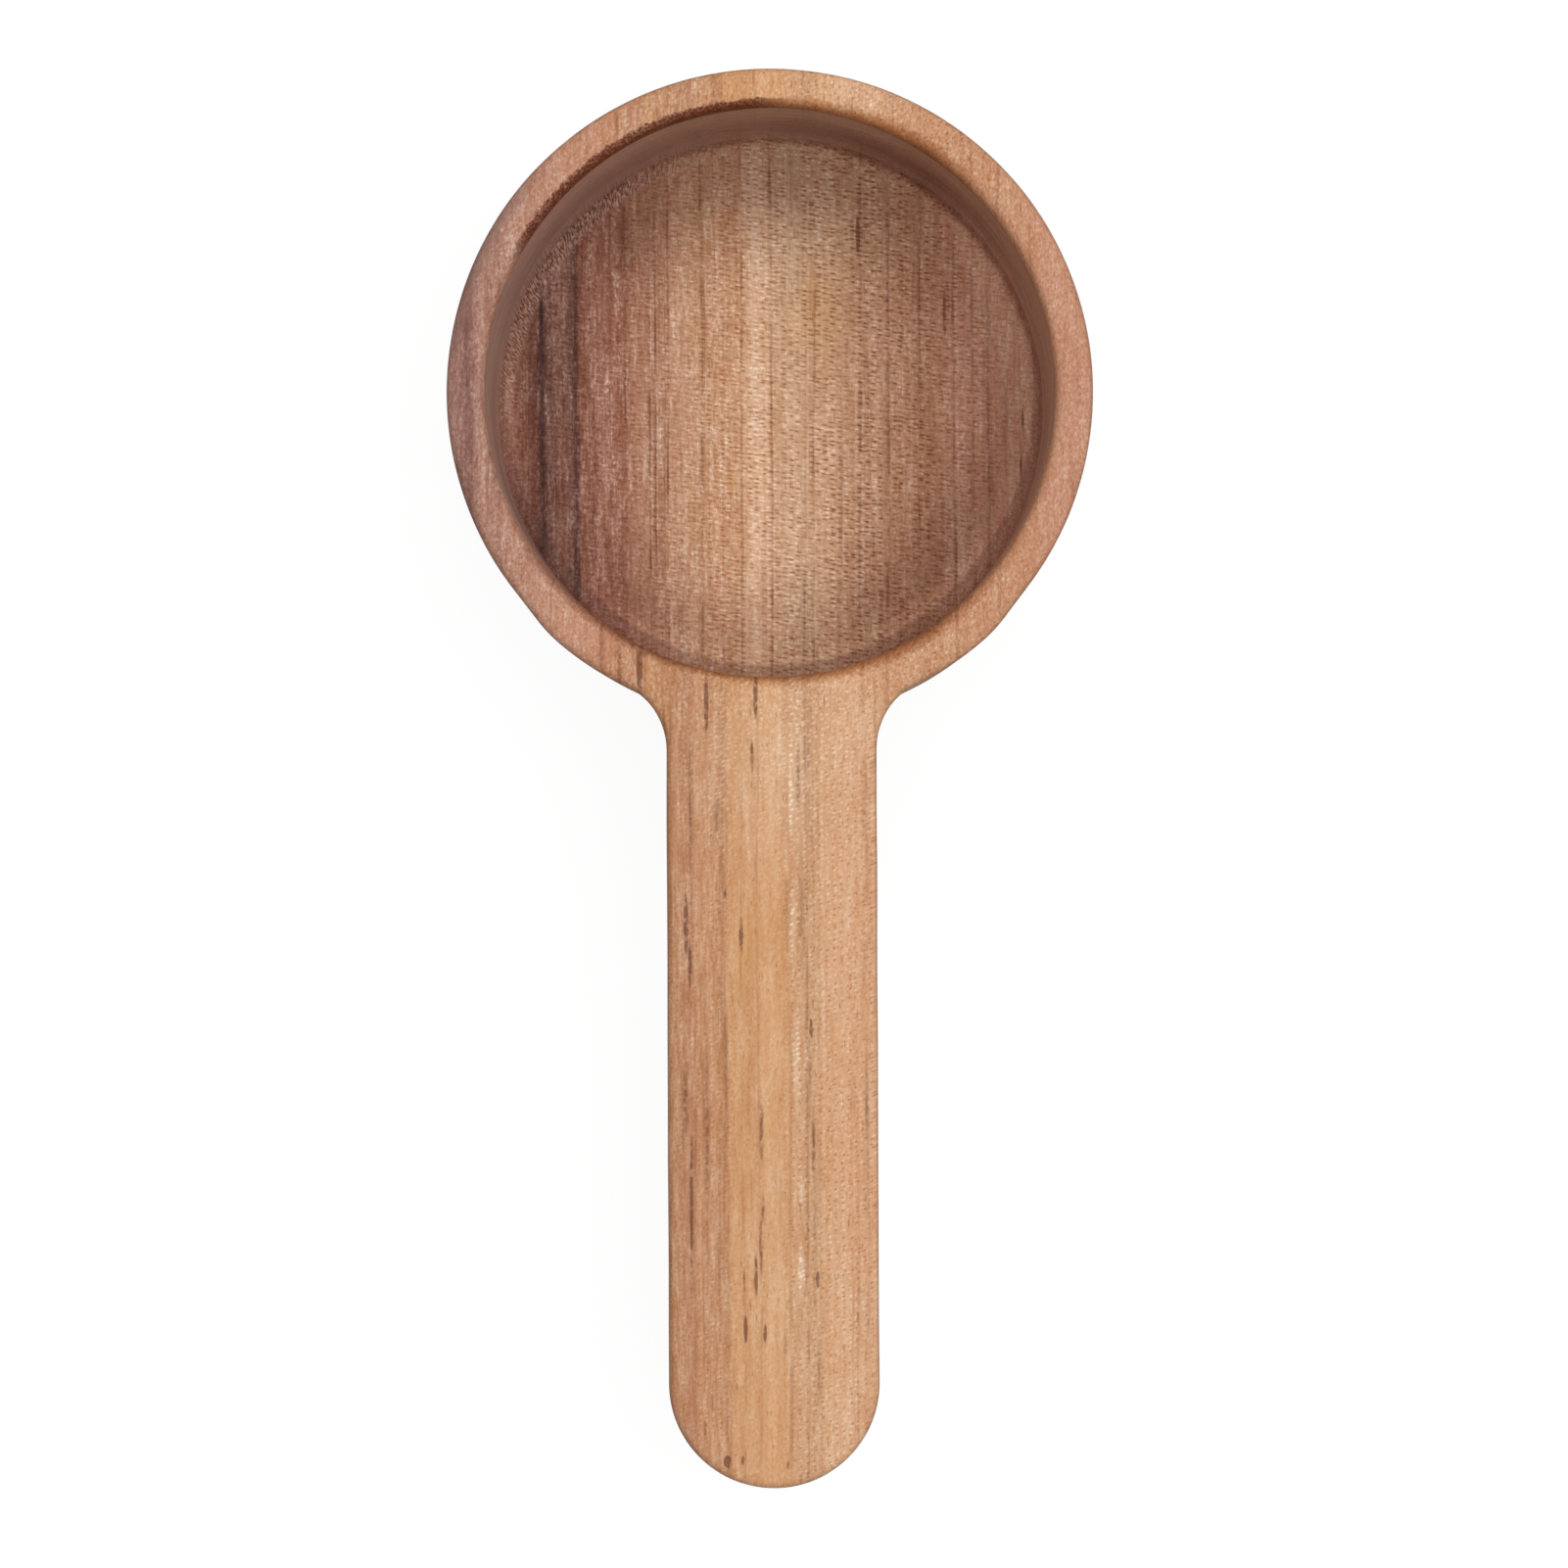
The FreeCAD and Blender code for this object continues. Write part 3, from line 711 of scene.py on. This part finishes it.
def ray_dashes(tree, space):
    """Rows of short dashes across the grain: the dark ends of cut rays, and pale wood between them."""
    lean = add(tree, RANGE, [space["depth"], 0.0, 1.0, RAY_LEAN_RIM, RAY_LEAN_FLOOR])
    along = add(tree, MATH, [space["x"], lean, space["y"]], operation="MULTIPLY_ADD")
    along = add(tree, MATH, [space["z"], RAY_RISE_ALONG, along], operation="MULTIPLY_ADD")
    over = add(tree, MATH, [space["z"], RAY_RISE_ACROSS, space["x"]], operation="MULTIPLY_ADD")
    place = add(tree, JOIN, [over, along, 0.0])
    column = pattern(tree, space["place"], RAY_COLUMN)
    honey = add(tree, MATH, [space["across"], HONEY_MIDDLE], operation="SUBTRACT")
    honey = add(tree, MATH, [honey, 0.0], operation="ABSOLUTE")
    honey = add(tree, RANGE, [honey, *HONEY_SPREAD])
    honey = add(tree, MIX, {MIX_FACTOR: space["deep"], VALUE_A: honey, VALUE_B: 1.0}, data_type="FLOAT")
    dashes = []
    for wide, high, rim_length, floor_length, at_rim, at_floor, shift, side in RAYS:
        cells = [place, (1 / wide, 1 / high, 0.0), (shift, shift, 0.0)]
        moved = add(tree, VECTOR, cells, operation="MULTIPLY_ADD")
        scatter = {"Vector": moved, "Scale": 1.0, "Randomness": RAY_SCATTER}
        cell = add(tree, "ShaderNodeTexVoronoi", scatter, voronoi_dimensions="2D").node.outputs
        stretch = add(tree, RANGE, [space["depth"], 0.0, 1.0, wide / rim_length, wide / floor_length])
        stretch = add(tree, JOIN, [stretch, high / RAY_THICKNESS, 0.0])
        gap = add(tree, VECTOR, [moved, cell["Position"]], operation="SUBTRACT")
        gap = add(tree, VECTOR, [gap, stretch], operation="MULTIPLY")
        gap = add(tree, VECTOR, [gap], out="Value", operation="LENGTH")
        dash = add(tree, RANGE, [gap, *RAY_OUTLINE])
        chance = add(tree, SPLIT, [cell["Color"]])
        chance = add(tree, RANGE, [chance, *RAY_CHANCE])
        level = add(tree, RANGE, [space["depth"], 0.0, 1.0, at_rim, at_floor])
        for share in (chance, column, level, honey, space[side]):
            dash = add(tree, MATH, [dash, share], operation="MULTIPLY")
        dashes.append(dash)
    return dashes


def streak_mask(tree, space, streaks):
    """All streaks of one kind as one mask, each strongest along its middle."""
    mask = 0.0
    place = add(tree, JOIN, [space["x"], space["y"], space["z"]])
    for height, rows in zip((space["rim"], space["floor"]), streaks):
        for across, along, half_length, half_width, strength in rows:
            size = (half_width, half_length, STREAK_DEPTH)
            start = tuple(-at / reach for at, reach in zip((across, along, height), size))
            shares = [place, tuple(1 / reach for reach in size), start]
            gap = add(tree, VECTOR, shares, operation="MULTIPLY_ADD")
            gap = add(tree, VECTOR, [gap], out="Value", operation="LENGTH")
            rise = STREAK_RISE * strength
            streak = add(tree, MATH, [gap, -rise, rise], operation="MULTIPLY_ADD")
            mask = add(tree, MATH, [mask, streak], operation="MAXIMUM")
    return mask


def wood_material(sizes, look):
    """The oiled wood of the whole spoon."""
    material = bpy.data.materials.new("oiled acacia, bored and sanded")
    tree = empty_tree(material)
    space = grain_space(tree, sizes)
    add_masks(tree, space)
    add_marks(tree, space)
    place = space["place"]
    dark_rays, pale_rays = ray_dashes(tree, space)

    # What lightens and darkens the bands: fibres, soft stripes, patches, strands, grit and the rubbed wall.
    shares = []
    for plain, on_left, on_rim in (STRAIGHT, GRIT):
        share = add(tree, MATH, [space["floor_left"], on_left, plain], operation="MULTIPLY_ADD")
        shares.append(add(tree, MATH, [space["on_rim"], on_rim, share], operation="MULTIPLY_ADD"))
    straight, grit = shares
    strands = space["strands"]
    level = 1.0
    for rule, share in ((FIBRE, straight), (BAND, 1.0), (PATCH, 1.0), (STRAND, strands), (SPECKLE, grit)):
        tone = add(tree, MATH, [pattern(tree, place, rule), share, 1.0], operation="MULTIPLY_ADD")
        level = add(tree, MATH, [level, tone], operation="MULTIPLY")
    arc = add(tree, MATH, [space["turn"], space["cup"]], operation="MULTIPLY")
    burnish = pattern(tree, add(tree, JOIN, [arc, space["z"], 0.0]), BURNISH, "2D")
    burnish = add(tree, MATH, [burnish, space["wall"], 1.0], operation="MULTIPLY_ADD")
    level = add(tree, MATH, [level, burnish], operation="MULTIPLY")

    # Torn strokes are pale and dark in turn, as the rays are.
    torn_pale = add(tree, MATH, [space["tears"], 0.0], operation="MAXIMUM")
    torn_dark = add(tree, MATH, [space["tears"], -1.0], operation="MULTIPLY")
    dark_rays = add(tree, MATH, [dark_rays, torn_dark], operation="MAXIMUM")
    torn_deep = add(tree, MATH, [torn_dark, TEAR_SHADE], operation="MULTIPLY")
    torn = add(tree, MATH, [space["ring"], TORN_STRENGTH], operation="MULTIPLY")
    bright = (1.0, 1.0, 1.0)
    # Pale rays, torn fibres and the painted light at the wall's foot brighten the colour.
    for mask, gain in ((pale_rays, RAY_GAIN), (torn_pale, TORN_GAIN), (space["painted_foot_light"], PAINTED_FOOT_LIGHT_GAIN)):
        bright = add(tree, VECTOR, [mask, gain, bright], operation="MULTIPLY_ADD")
    # Painted shade: on the floor towards the wall and in the corner at the wall's foot.
    painted_shade = add(tree, MATH, [space["oiled"], space["painted_corner_shade"]], operation="MAXIMUM")

    # Pores are thin tubes along the grain, cut open as short dark dashes. Resin lies in them as dots.
    pores = pattern(tree, place, PORE)
    dotted = pattern(tree, place, STREAK_BREAK)
    resin = add(tree, MATH, [streak_mask(tree, space, RESIN_STREAKS), dotted], operation="MULTIPLY")
    resin = add(tree, MATH, [resin, RESIN_MOST], operation="MINIMUM")
    # Pale fibres, brightened as painted glints and broken up by the rays:
    slanted = add(tree, RANGE, [pale_rays, *GLINT_BREAK])
    pale = add(tree, MATH, [streak_mask(tree, space, PALE_GLINT_STREAKS), slanted], operation="MULTIPLY")
    pale = add(tree, MATH, [pale, 1.0], operation="MINIMUM")
    oil = add(tree, MATH, [streak_mask(tree, space, OIL_SPOTS), OIL_STRENGTH], operation="MULTIPLY")

    # A gamma makes the dark parts warmer and the light ones paler, as oil does. At a level of 1 it is 1 too.
    gamma = add(tree, MATH, [2.0, level], operation="SUBTRACT")
    colour = add(tree, "ShaderNodeGamma", [band_colour(tree, space), gamma])
    colour = add(tree, VECTOR, [colour, bright], operation="MULTIPLY")
    for mask, tint, blend in (
        (oil, look.oil_colour, "MIX"),
        (growth_lines(tree, space), look.line_tint, "MULTIPLY"),
        (torn, look.torn_colour, "MIX"),
        (dark_rays, look.ray_tint, "MULTIPLY"),
        (torn_deep, look.line_tint, "MULTIPLY"),
        (pores, look.pore_colour, "MIX"),
        # Pale fibres with painted glints:
        (pale, look.pale_glint_colour, "MIX"),
        (resin, look.resin_colour, "MIX"),
        # Painted shade on the floor and in the corner:
        (painted_shade, look.floor_shade_tint, "MULTIPLY"),
        # Painted reflection of the room on the wall:
        (space["painted_wall_reflection"], look.wall_reflection_colour, "MIX"),
        # Painted shade on the bore's wall:
        (space["rubbed"], look.wall_shade_tint, "MULTIPLY"),
        (space["frayed"], look.torn_colour, "MIX"),
        # Darker strip on the left of the rim's outer edge:
        (space["left_outer_dark"], look.left_outer_dark_colour, "MIX"),
        # Painted shade on the outer sides:
        (space["side"], look.side_shade_tint, "MULTIPLY"),
        # Painted shade along the bore's edge:
        (space["edge"], look.bore_edge_shade_tint, "MULTIPLY"),
        # Scorch line and painted shadow line on the bore's edge:
        (space["scorch"], look.scorch_and_shadow_colour, "MIX"),
    ):
        colours = {MIX_FACTOR: mask, MIX_A: colour, MIX_B: (*tint, 1.0)}
        colour = add(tree, MIX, colours, out=MIX_RESULT, data_type="RGBA", blend_type=blend)

    cuts = add(tree, MATH, [dark_rays, RAY_BUMP, pores], operation="MULTIPLY_ADD")
    height = add(tree, MATH, [space["tears"], cuts], operation="SUBTRACT")
    bump = add(tree, "ShaderNodeBump", {"Strength": 1.0, "Distance": BUMP_DEPTH * MM, "Height": height})
    sheen = add(tree, RANGE, [level, *SHEEN_LEVELS, look.roughness + SHEEN, look.roughness - SHEEN])
    surface = {"Base Color": colour, "Roughness": sheen, "IOR": WOOD_IOR, "Specular IOR Level": look.gloss,
               "Normal": bump}
    shader = add(tree, "ShaderNodeBsdfPrincipled", surface)
    add(tree, "ShaderNodeOutputMaterial", {"Surface": shader})
    return material


def seen_directly(tree):
    """Whether a ray comes from the camera, straight or by way of gloss or glass."""
    rays = tree.nodes.new("ShaderNodeLightPath").outputs
    seen = add(tree, MATH, [rays["Is Camera Ray"], rays["Is Glossy Ray"]], operation="MAXIMUM")
    return add(tree, MATH, [seen, rays["Is Transmission Ray"]], operation="MAXIMUM")


def stage_material(look):
    """A matt white sweep: nearly white to the camera, with the object's soft shadow kept."""
    material = bpy.data.materials.new("matt white paper")
    tree = empty_tree(material)
    paper = add(tree, "ShaderNodeBsdfDiffuse", {"Color": (*look.floor_colour, 1.0)})
    glow = add(tree, "ShaderNodeEmission", {"Color": WHITE, "Strength": look.floor_glow})
    lit = add(tree, "ShaderNodeMixShader", [look.floor_white, paper, glow])
    surface = add(tree, "ShaderNodeMixShader", [seen_directly(tree), paper, lit])
    add(tree, "ShaderNodeOutputMaterial", {"Surface": surface})
    return material


def length_prop(name, description, millimetres):
    """A property for a length, with its default in millimetres."""
    return bpy.props.FloatProperty(
        name=name, description=description, default=millimetres * MM, unit="LENGTH")


def colour_prop(name, description, hex_colour):
    """A property for a colour, with its default as sRGB hex."""
    return bpy.props.FloatVectorProperty(
        name=name, description=description, default=linear(hex_colour), subtype="COLOR")


class SpoonSizes(bpy.types.PropertyGroup):
    """Sizes of the spoon, the same as the CAD part's."""

    cup_diameter: length_prop("Cup diameter", "Outside diameter of the cup", 52)
    cup_height: length_prop("Cup height", "Height of the rim above the base", 22.5)
    rim_width: length_prop("Rim width", "Thickness of the cup's wall", 3.2)
    floor_thickness: length_prop("Floor thickness", "Wood under the hollow", 4.1)
    floor_corner_radius: length_prop("Floor corner", "Corner of the cutter that bored the hollow", 1.2)
    base_edge_radius: length_prop("Base edge", "Rounding round the base", 4)
    rim_edge_radius: length_prop("Rim edge", "Rounding of the rim and of the handle's top", 0.8)
    handle_length: length_prop("Handle length", "From the cup's side to the tip", 62)
    handle_width: length_prop("Handle width", "Width of the handle", 17)
    handle_thickness: length_prop("Handle thickness", "Depth of the handle below the rim", 8)
    handle_under_radius: length_prop("Handle underside", "Rounding of the edges under the handle", 2)
    neck_radius: length_prop("Neck", "Hollow curve between handle and cup", 5)
    shoulder_height: length_prop("Shoulder height", "How far the cup stands proud beside the neck", 0.36)
    shoulder_angle: bpy.props.FloatProperty(
        name="Shoulder angle", description="From the handle's axis to the end of the proud side",
        default=math.radians(40), subtype="ANGLE")
    shoulder_end_radius: length_prop("Shoulder end", "Curve at the end of the proud side", 12)
    quad_size: length_prop("Quad size", "Size of the carved mesh's faces", 0.4)
    sanding_depth: length_prop("Sanding depth", "Depth of the waves that hand sanding leaves", 0.12)
    sanding_length: length_prop("Sanding length", "Length of the sanding waves", 11)
    tear_depth: length_prop("Tear depth", "Depth of the torn grain round the floor", 0.16)
    tear_length: length_prop("Tear length", "Length of one tear", 1.0)
    tear_ring: length_prop("Tear ring", "Width of the torn ring round the floor", 1.9)
    seed: bpy.props.IntProperty(name="Seed", description="Changes the hand finish", default=4)


class WoodLook(bpy.types.PropertyGroup):
    """Colours and finish of the wood."""

    line_tint: colour_prop("Growth lines", "How the thin lines between the years tint the wood", "#a98574")
    ray_tint: colour_prop("Rays", "How the cut ends of the rays tint the wood", "#b8967f")
    pore_colour: colour_prop("Pores", "Open pores", "#a36c44")
    resin_colour: colour_prop("Resin", "Resin streaks", "#5c2a14")
    torn_colour: colour_prop("Torn fibres", "Fibres that stand up round the floor", "#c4a08e")
    # Colour of the pale fibres, partly a painted glint:
    pale_glint_colour: colour_prop("Bruises", "Pale bruised fibres", "#f0d8bd")
    oil_colour: colour_prop("Oil spots", "Where the oil lies thicker", "#cb9a5f")
    # How dark the painted shade on the floor and in the corner is:
    floor_shade_tint: colour_prop("Oiled floor", "How oil that gathers near the wall tints the floor", "#ccc2c2")
    # Colour of the painted reflection of the room on the bore's wall:
    wall_reflection_colour: colour_prop("Bore wall", "Grey that the cutter rubbed into the wall of the bore", "#c8aa9d")
    # How dark the painted shade on the bore's wall is:
    wall_shade_tint: colour_prop("Rubbed wall", "How the cutter tinted parts of the bore's wall", "#c4b4b4")
    # How dark the painted shade on the outer sides is:
    side_shade_tint: colour_prop("Sides", "How handling tinted the sides and their rounded edges", "#b8a59b")
    # Colour of the darker strip on the left of the rim's outer edge:
    left_outer_dark_colour: colour_prop("Stain", "Where the rim's outer edge was worn", "#8a675e")
    # How dark the painted shade along the bore's edge is:
    bore_edge_shade_tint: colour_prop("Bore edge", "How the cutter tinted the edge of the bore", "#cfb49c")
    # Colour of the scorch line and of the painted shadow line on the bore's edge:
    scorch_and_shadow_colour: colour_prop("Scorch", "Where the cutter ran hot", "#5e2c1b")
    roughness: bpy.props.FloatProperty(
        name="Roughness", description="Of the oiled and sanded surface", default=0.5, subtype="FACTOR")
    gloss: bpy.props.FloatProperty(
        name="Gloss", description="How much the open grain reflects", default=0.15, subtype="FACTOR")


class StageLook(bpy.types.PropertyGroup):
    """Floor, light and camera."""

    floor_colour: colour_prop("Floor", "Colour of the floor", "#f4f4f4")
    floor_glow: bpy.props.FloatProperty(
        name="Floor glow", description="Brightness that the camera sees the floor in", default=1.05)
    floor_white: bpy.props.FloatProperty(
        name="Floor white", description="How far the glow hides the floor's own shading", default=0.88,
        subtype="FACTOR")
    key_power: bpy.props.FloatProperty(
        name="Key light", description="Power of the overhead light", default=9.1, unit="POWER")
    key_size: length_prop("Key size", "Side of the overhead light", 1100)
    fill: bpy.props.FloatProperty(name="Fill", description="Brightness of the room", default=0.15)
    camera_rise: length_prop("Camera rise", "Height of the camera above the rim", 350)
    frame_width: length_prop("Frame width", "What the picture spans at rim level", 125.52)
    roll: bpy.props.FloatProperty(
        name="Roll", description="Turn of the camera about its view", default=math.radians(-0.26),
        subtype="ANGLE")


class SpoonSettings(bpy.types.PropertyGroup):
    """Everything that a user would change."""

    sizes: bpy.props.PointerProperty(type=SpoonSizes, name="Sizes", description="Sizes of the spoon")
    wood: bpy.props.PointerProperty(type=WoodLook, name="Wood", description="Look of the wood")
    stage: bpy.props.PointerProperty(type=StageLook, name="Stage", description="Floor, light and camera")


class SPOON_OT_carve(bpy.types.Operator):
    """Carve the spoon on the CAD part, wear its surface and give it its wood"""

    bl_idname = "spoon.carve"
    bl_label = "Carve spoon"

    def execute(self, context):
        sizes = context.scene.spoon.sizes
        spoon = carve_blank(sizes)
        finish = spoon.modifiers.new("Hand finish", "NODES")
        tree = hand_finish_tree()
        values = {
            "Sanding depth": sizes.sanding_depth,
            "Sanding length": sizes.sanding_length,
            "Tear depth": sizes.tear_depth,
            "Tear length": sizes.tear_length,
            "Bore radius": sizes.cup_diameter / 2 - sizes.rim_width,
            "Floor height": sizes.floor_thickness,
            "Ring width": sizes.tear_ring,
            "Seed": float(sizes.seed),
            "Wood": wood_material(sizes, context.scene.spoon.wood),
        }
        finish.node_group = tree
        for socket in tree.interface.items_tree:
            if socket.name in values:
                finish[socket.identifier] = values[socket.name]
        make_plain(spoon)

        corners = np.array([vertex.co for vertex in spoon.data.vertices])
        if np.any(corners.min(axis=0) < np.array(CAD_BOX[0]) - BOX_TOLERANCE):
            raise RuntimeError("the carved spoon is below the CAD part's box")
        if np.any(corners.max(axis=0) > np.array(CAD_BOX[1]) + BOX_TOLERANCE):
            raise RuntimeError("the carved spoon is above the CAD part's box")
        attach(spoon, "root")
        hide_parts(CAD_NODE)
        return {"FINISHED"}


class SPOON_OT_stage(bpy.types.Operator):
    """Set up the pale floor, the soft light and the camera that looks straight down"""

    bl_idname = "spoon.stage"
    bl_label = "Set up stage"

    def execute(self, context):
        scene = context.scene
        sizes = scene.spoon.sizes
        look = scene.spoon.stage

        sheet = bpy.data.meshes.new("floor")
        edge = FLOOR_HALF_SIDE
        corners = [(-edge, -edge, 0), (edge, -edge, 0), (edge, edge, 0), (-edge, edge, 0)]
        sheet.from_pydata(corners, [], [(0, 1, 2, 3)])
        sheet.materials.append(stage_material(look))
        floor = bpy.data.objects.new("floor", sheet)
        scene.collection.objects.link(floor)

        lamp = bpy.data.lights.new("overhead softbox", "AREA")
        lamp.energy = look.key_power
        lamp.size = look.key_size
        key = bpy.data.objects.new("overhead softbox", lamp)
        key.location = LIGHT_PLACE
        aim = Vector(LIGHT_AIM) - key.location
        key.rotation_euler = aim.to_track_quat("-Z", "Y").to_euler()
        scene.collection.objects.link(key)

        world = bpy.data.worlds.new("white room")
        tree = empty_tree(world)
        level = add(tree, RANGE, [seen_directly(tree), 0.0, 1.0, look.fill, 1.0])
        sky = add(tree, "ShaderNodeBackground", {"Color": WHITE, "Strength": level})
        add(tree, "ShaderNodeOutputWorld", {"Surface": sky})
        scene.world = world

        lens = bpy.data.cameras.new("camera")
        lens.angle = 2 * math.atan(look.frame_width / 2 / look.camera_rise)
        camera = bpy.data.objects.new("camera", lens)
        camera.location = (CAMERA_X, CAMERA_Y, sizes.cup_height + look.camera_rise)
        camera.rotation_euler = (0.0, 0.0, look.roll)
        scene.collection.objects.link(camera)
        scene.camera = camera
        scene.view_settings.view_transform = "Standard"
        return {"FINISHED"}


class VIEW3D_PT_spoon(bpy.types.Panel):
    """Sidebar panel with the spoon's settings and steps"""

    bl_label = "Measuring spoon"
    bl_space_type = "VIEW_3D"
    bl_region_type = "UI"
    bl_category = "Spoon"

    def draw(self, context):
        for step in (SPOON_OT_carve, SPOON_OT_stage):
            self.layout.operator(step.bl_idname)
        for group in (context.scene.spoon.sizes, context.scene.spoon.wood, context.scene.spoon.stage):
            box = self.layout.box()
            for name in group.__annotations__:
                box.prop(group, name)


CLASSES = (SpoonSizes, WoodLook, StageLook, SpoonSettings, SPOON_OT_carve, SPOON_OT_stage, VIEW3D_PT_spoon)


def register():
    for item in CLASSES:
        bpy.utils.register_class(item)
    bpy.types.Scene.spoon = bpy.props.PointerProperty(type=SpoonSettings)


def unregister():
    del bpy.types.Scene.spoon
    for item in reversed(CLASSES):
        bpy.utils.unregister_class(item)


def main():
    """Register the add-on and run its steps."""
    register()
    bpy.ops.spoon.carve()
    bpy.ops.spoon.stage()


if __name__ == "__main__":
    main()
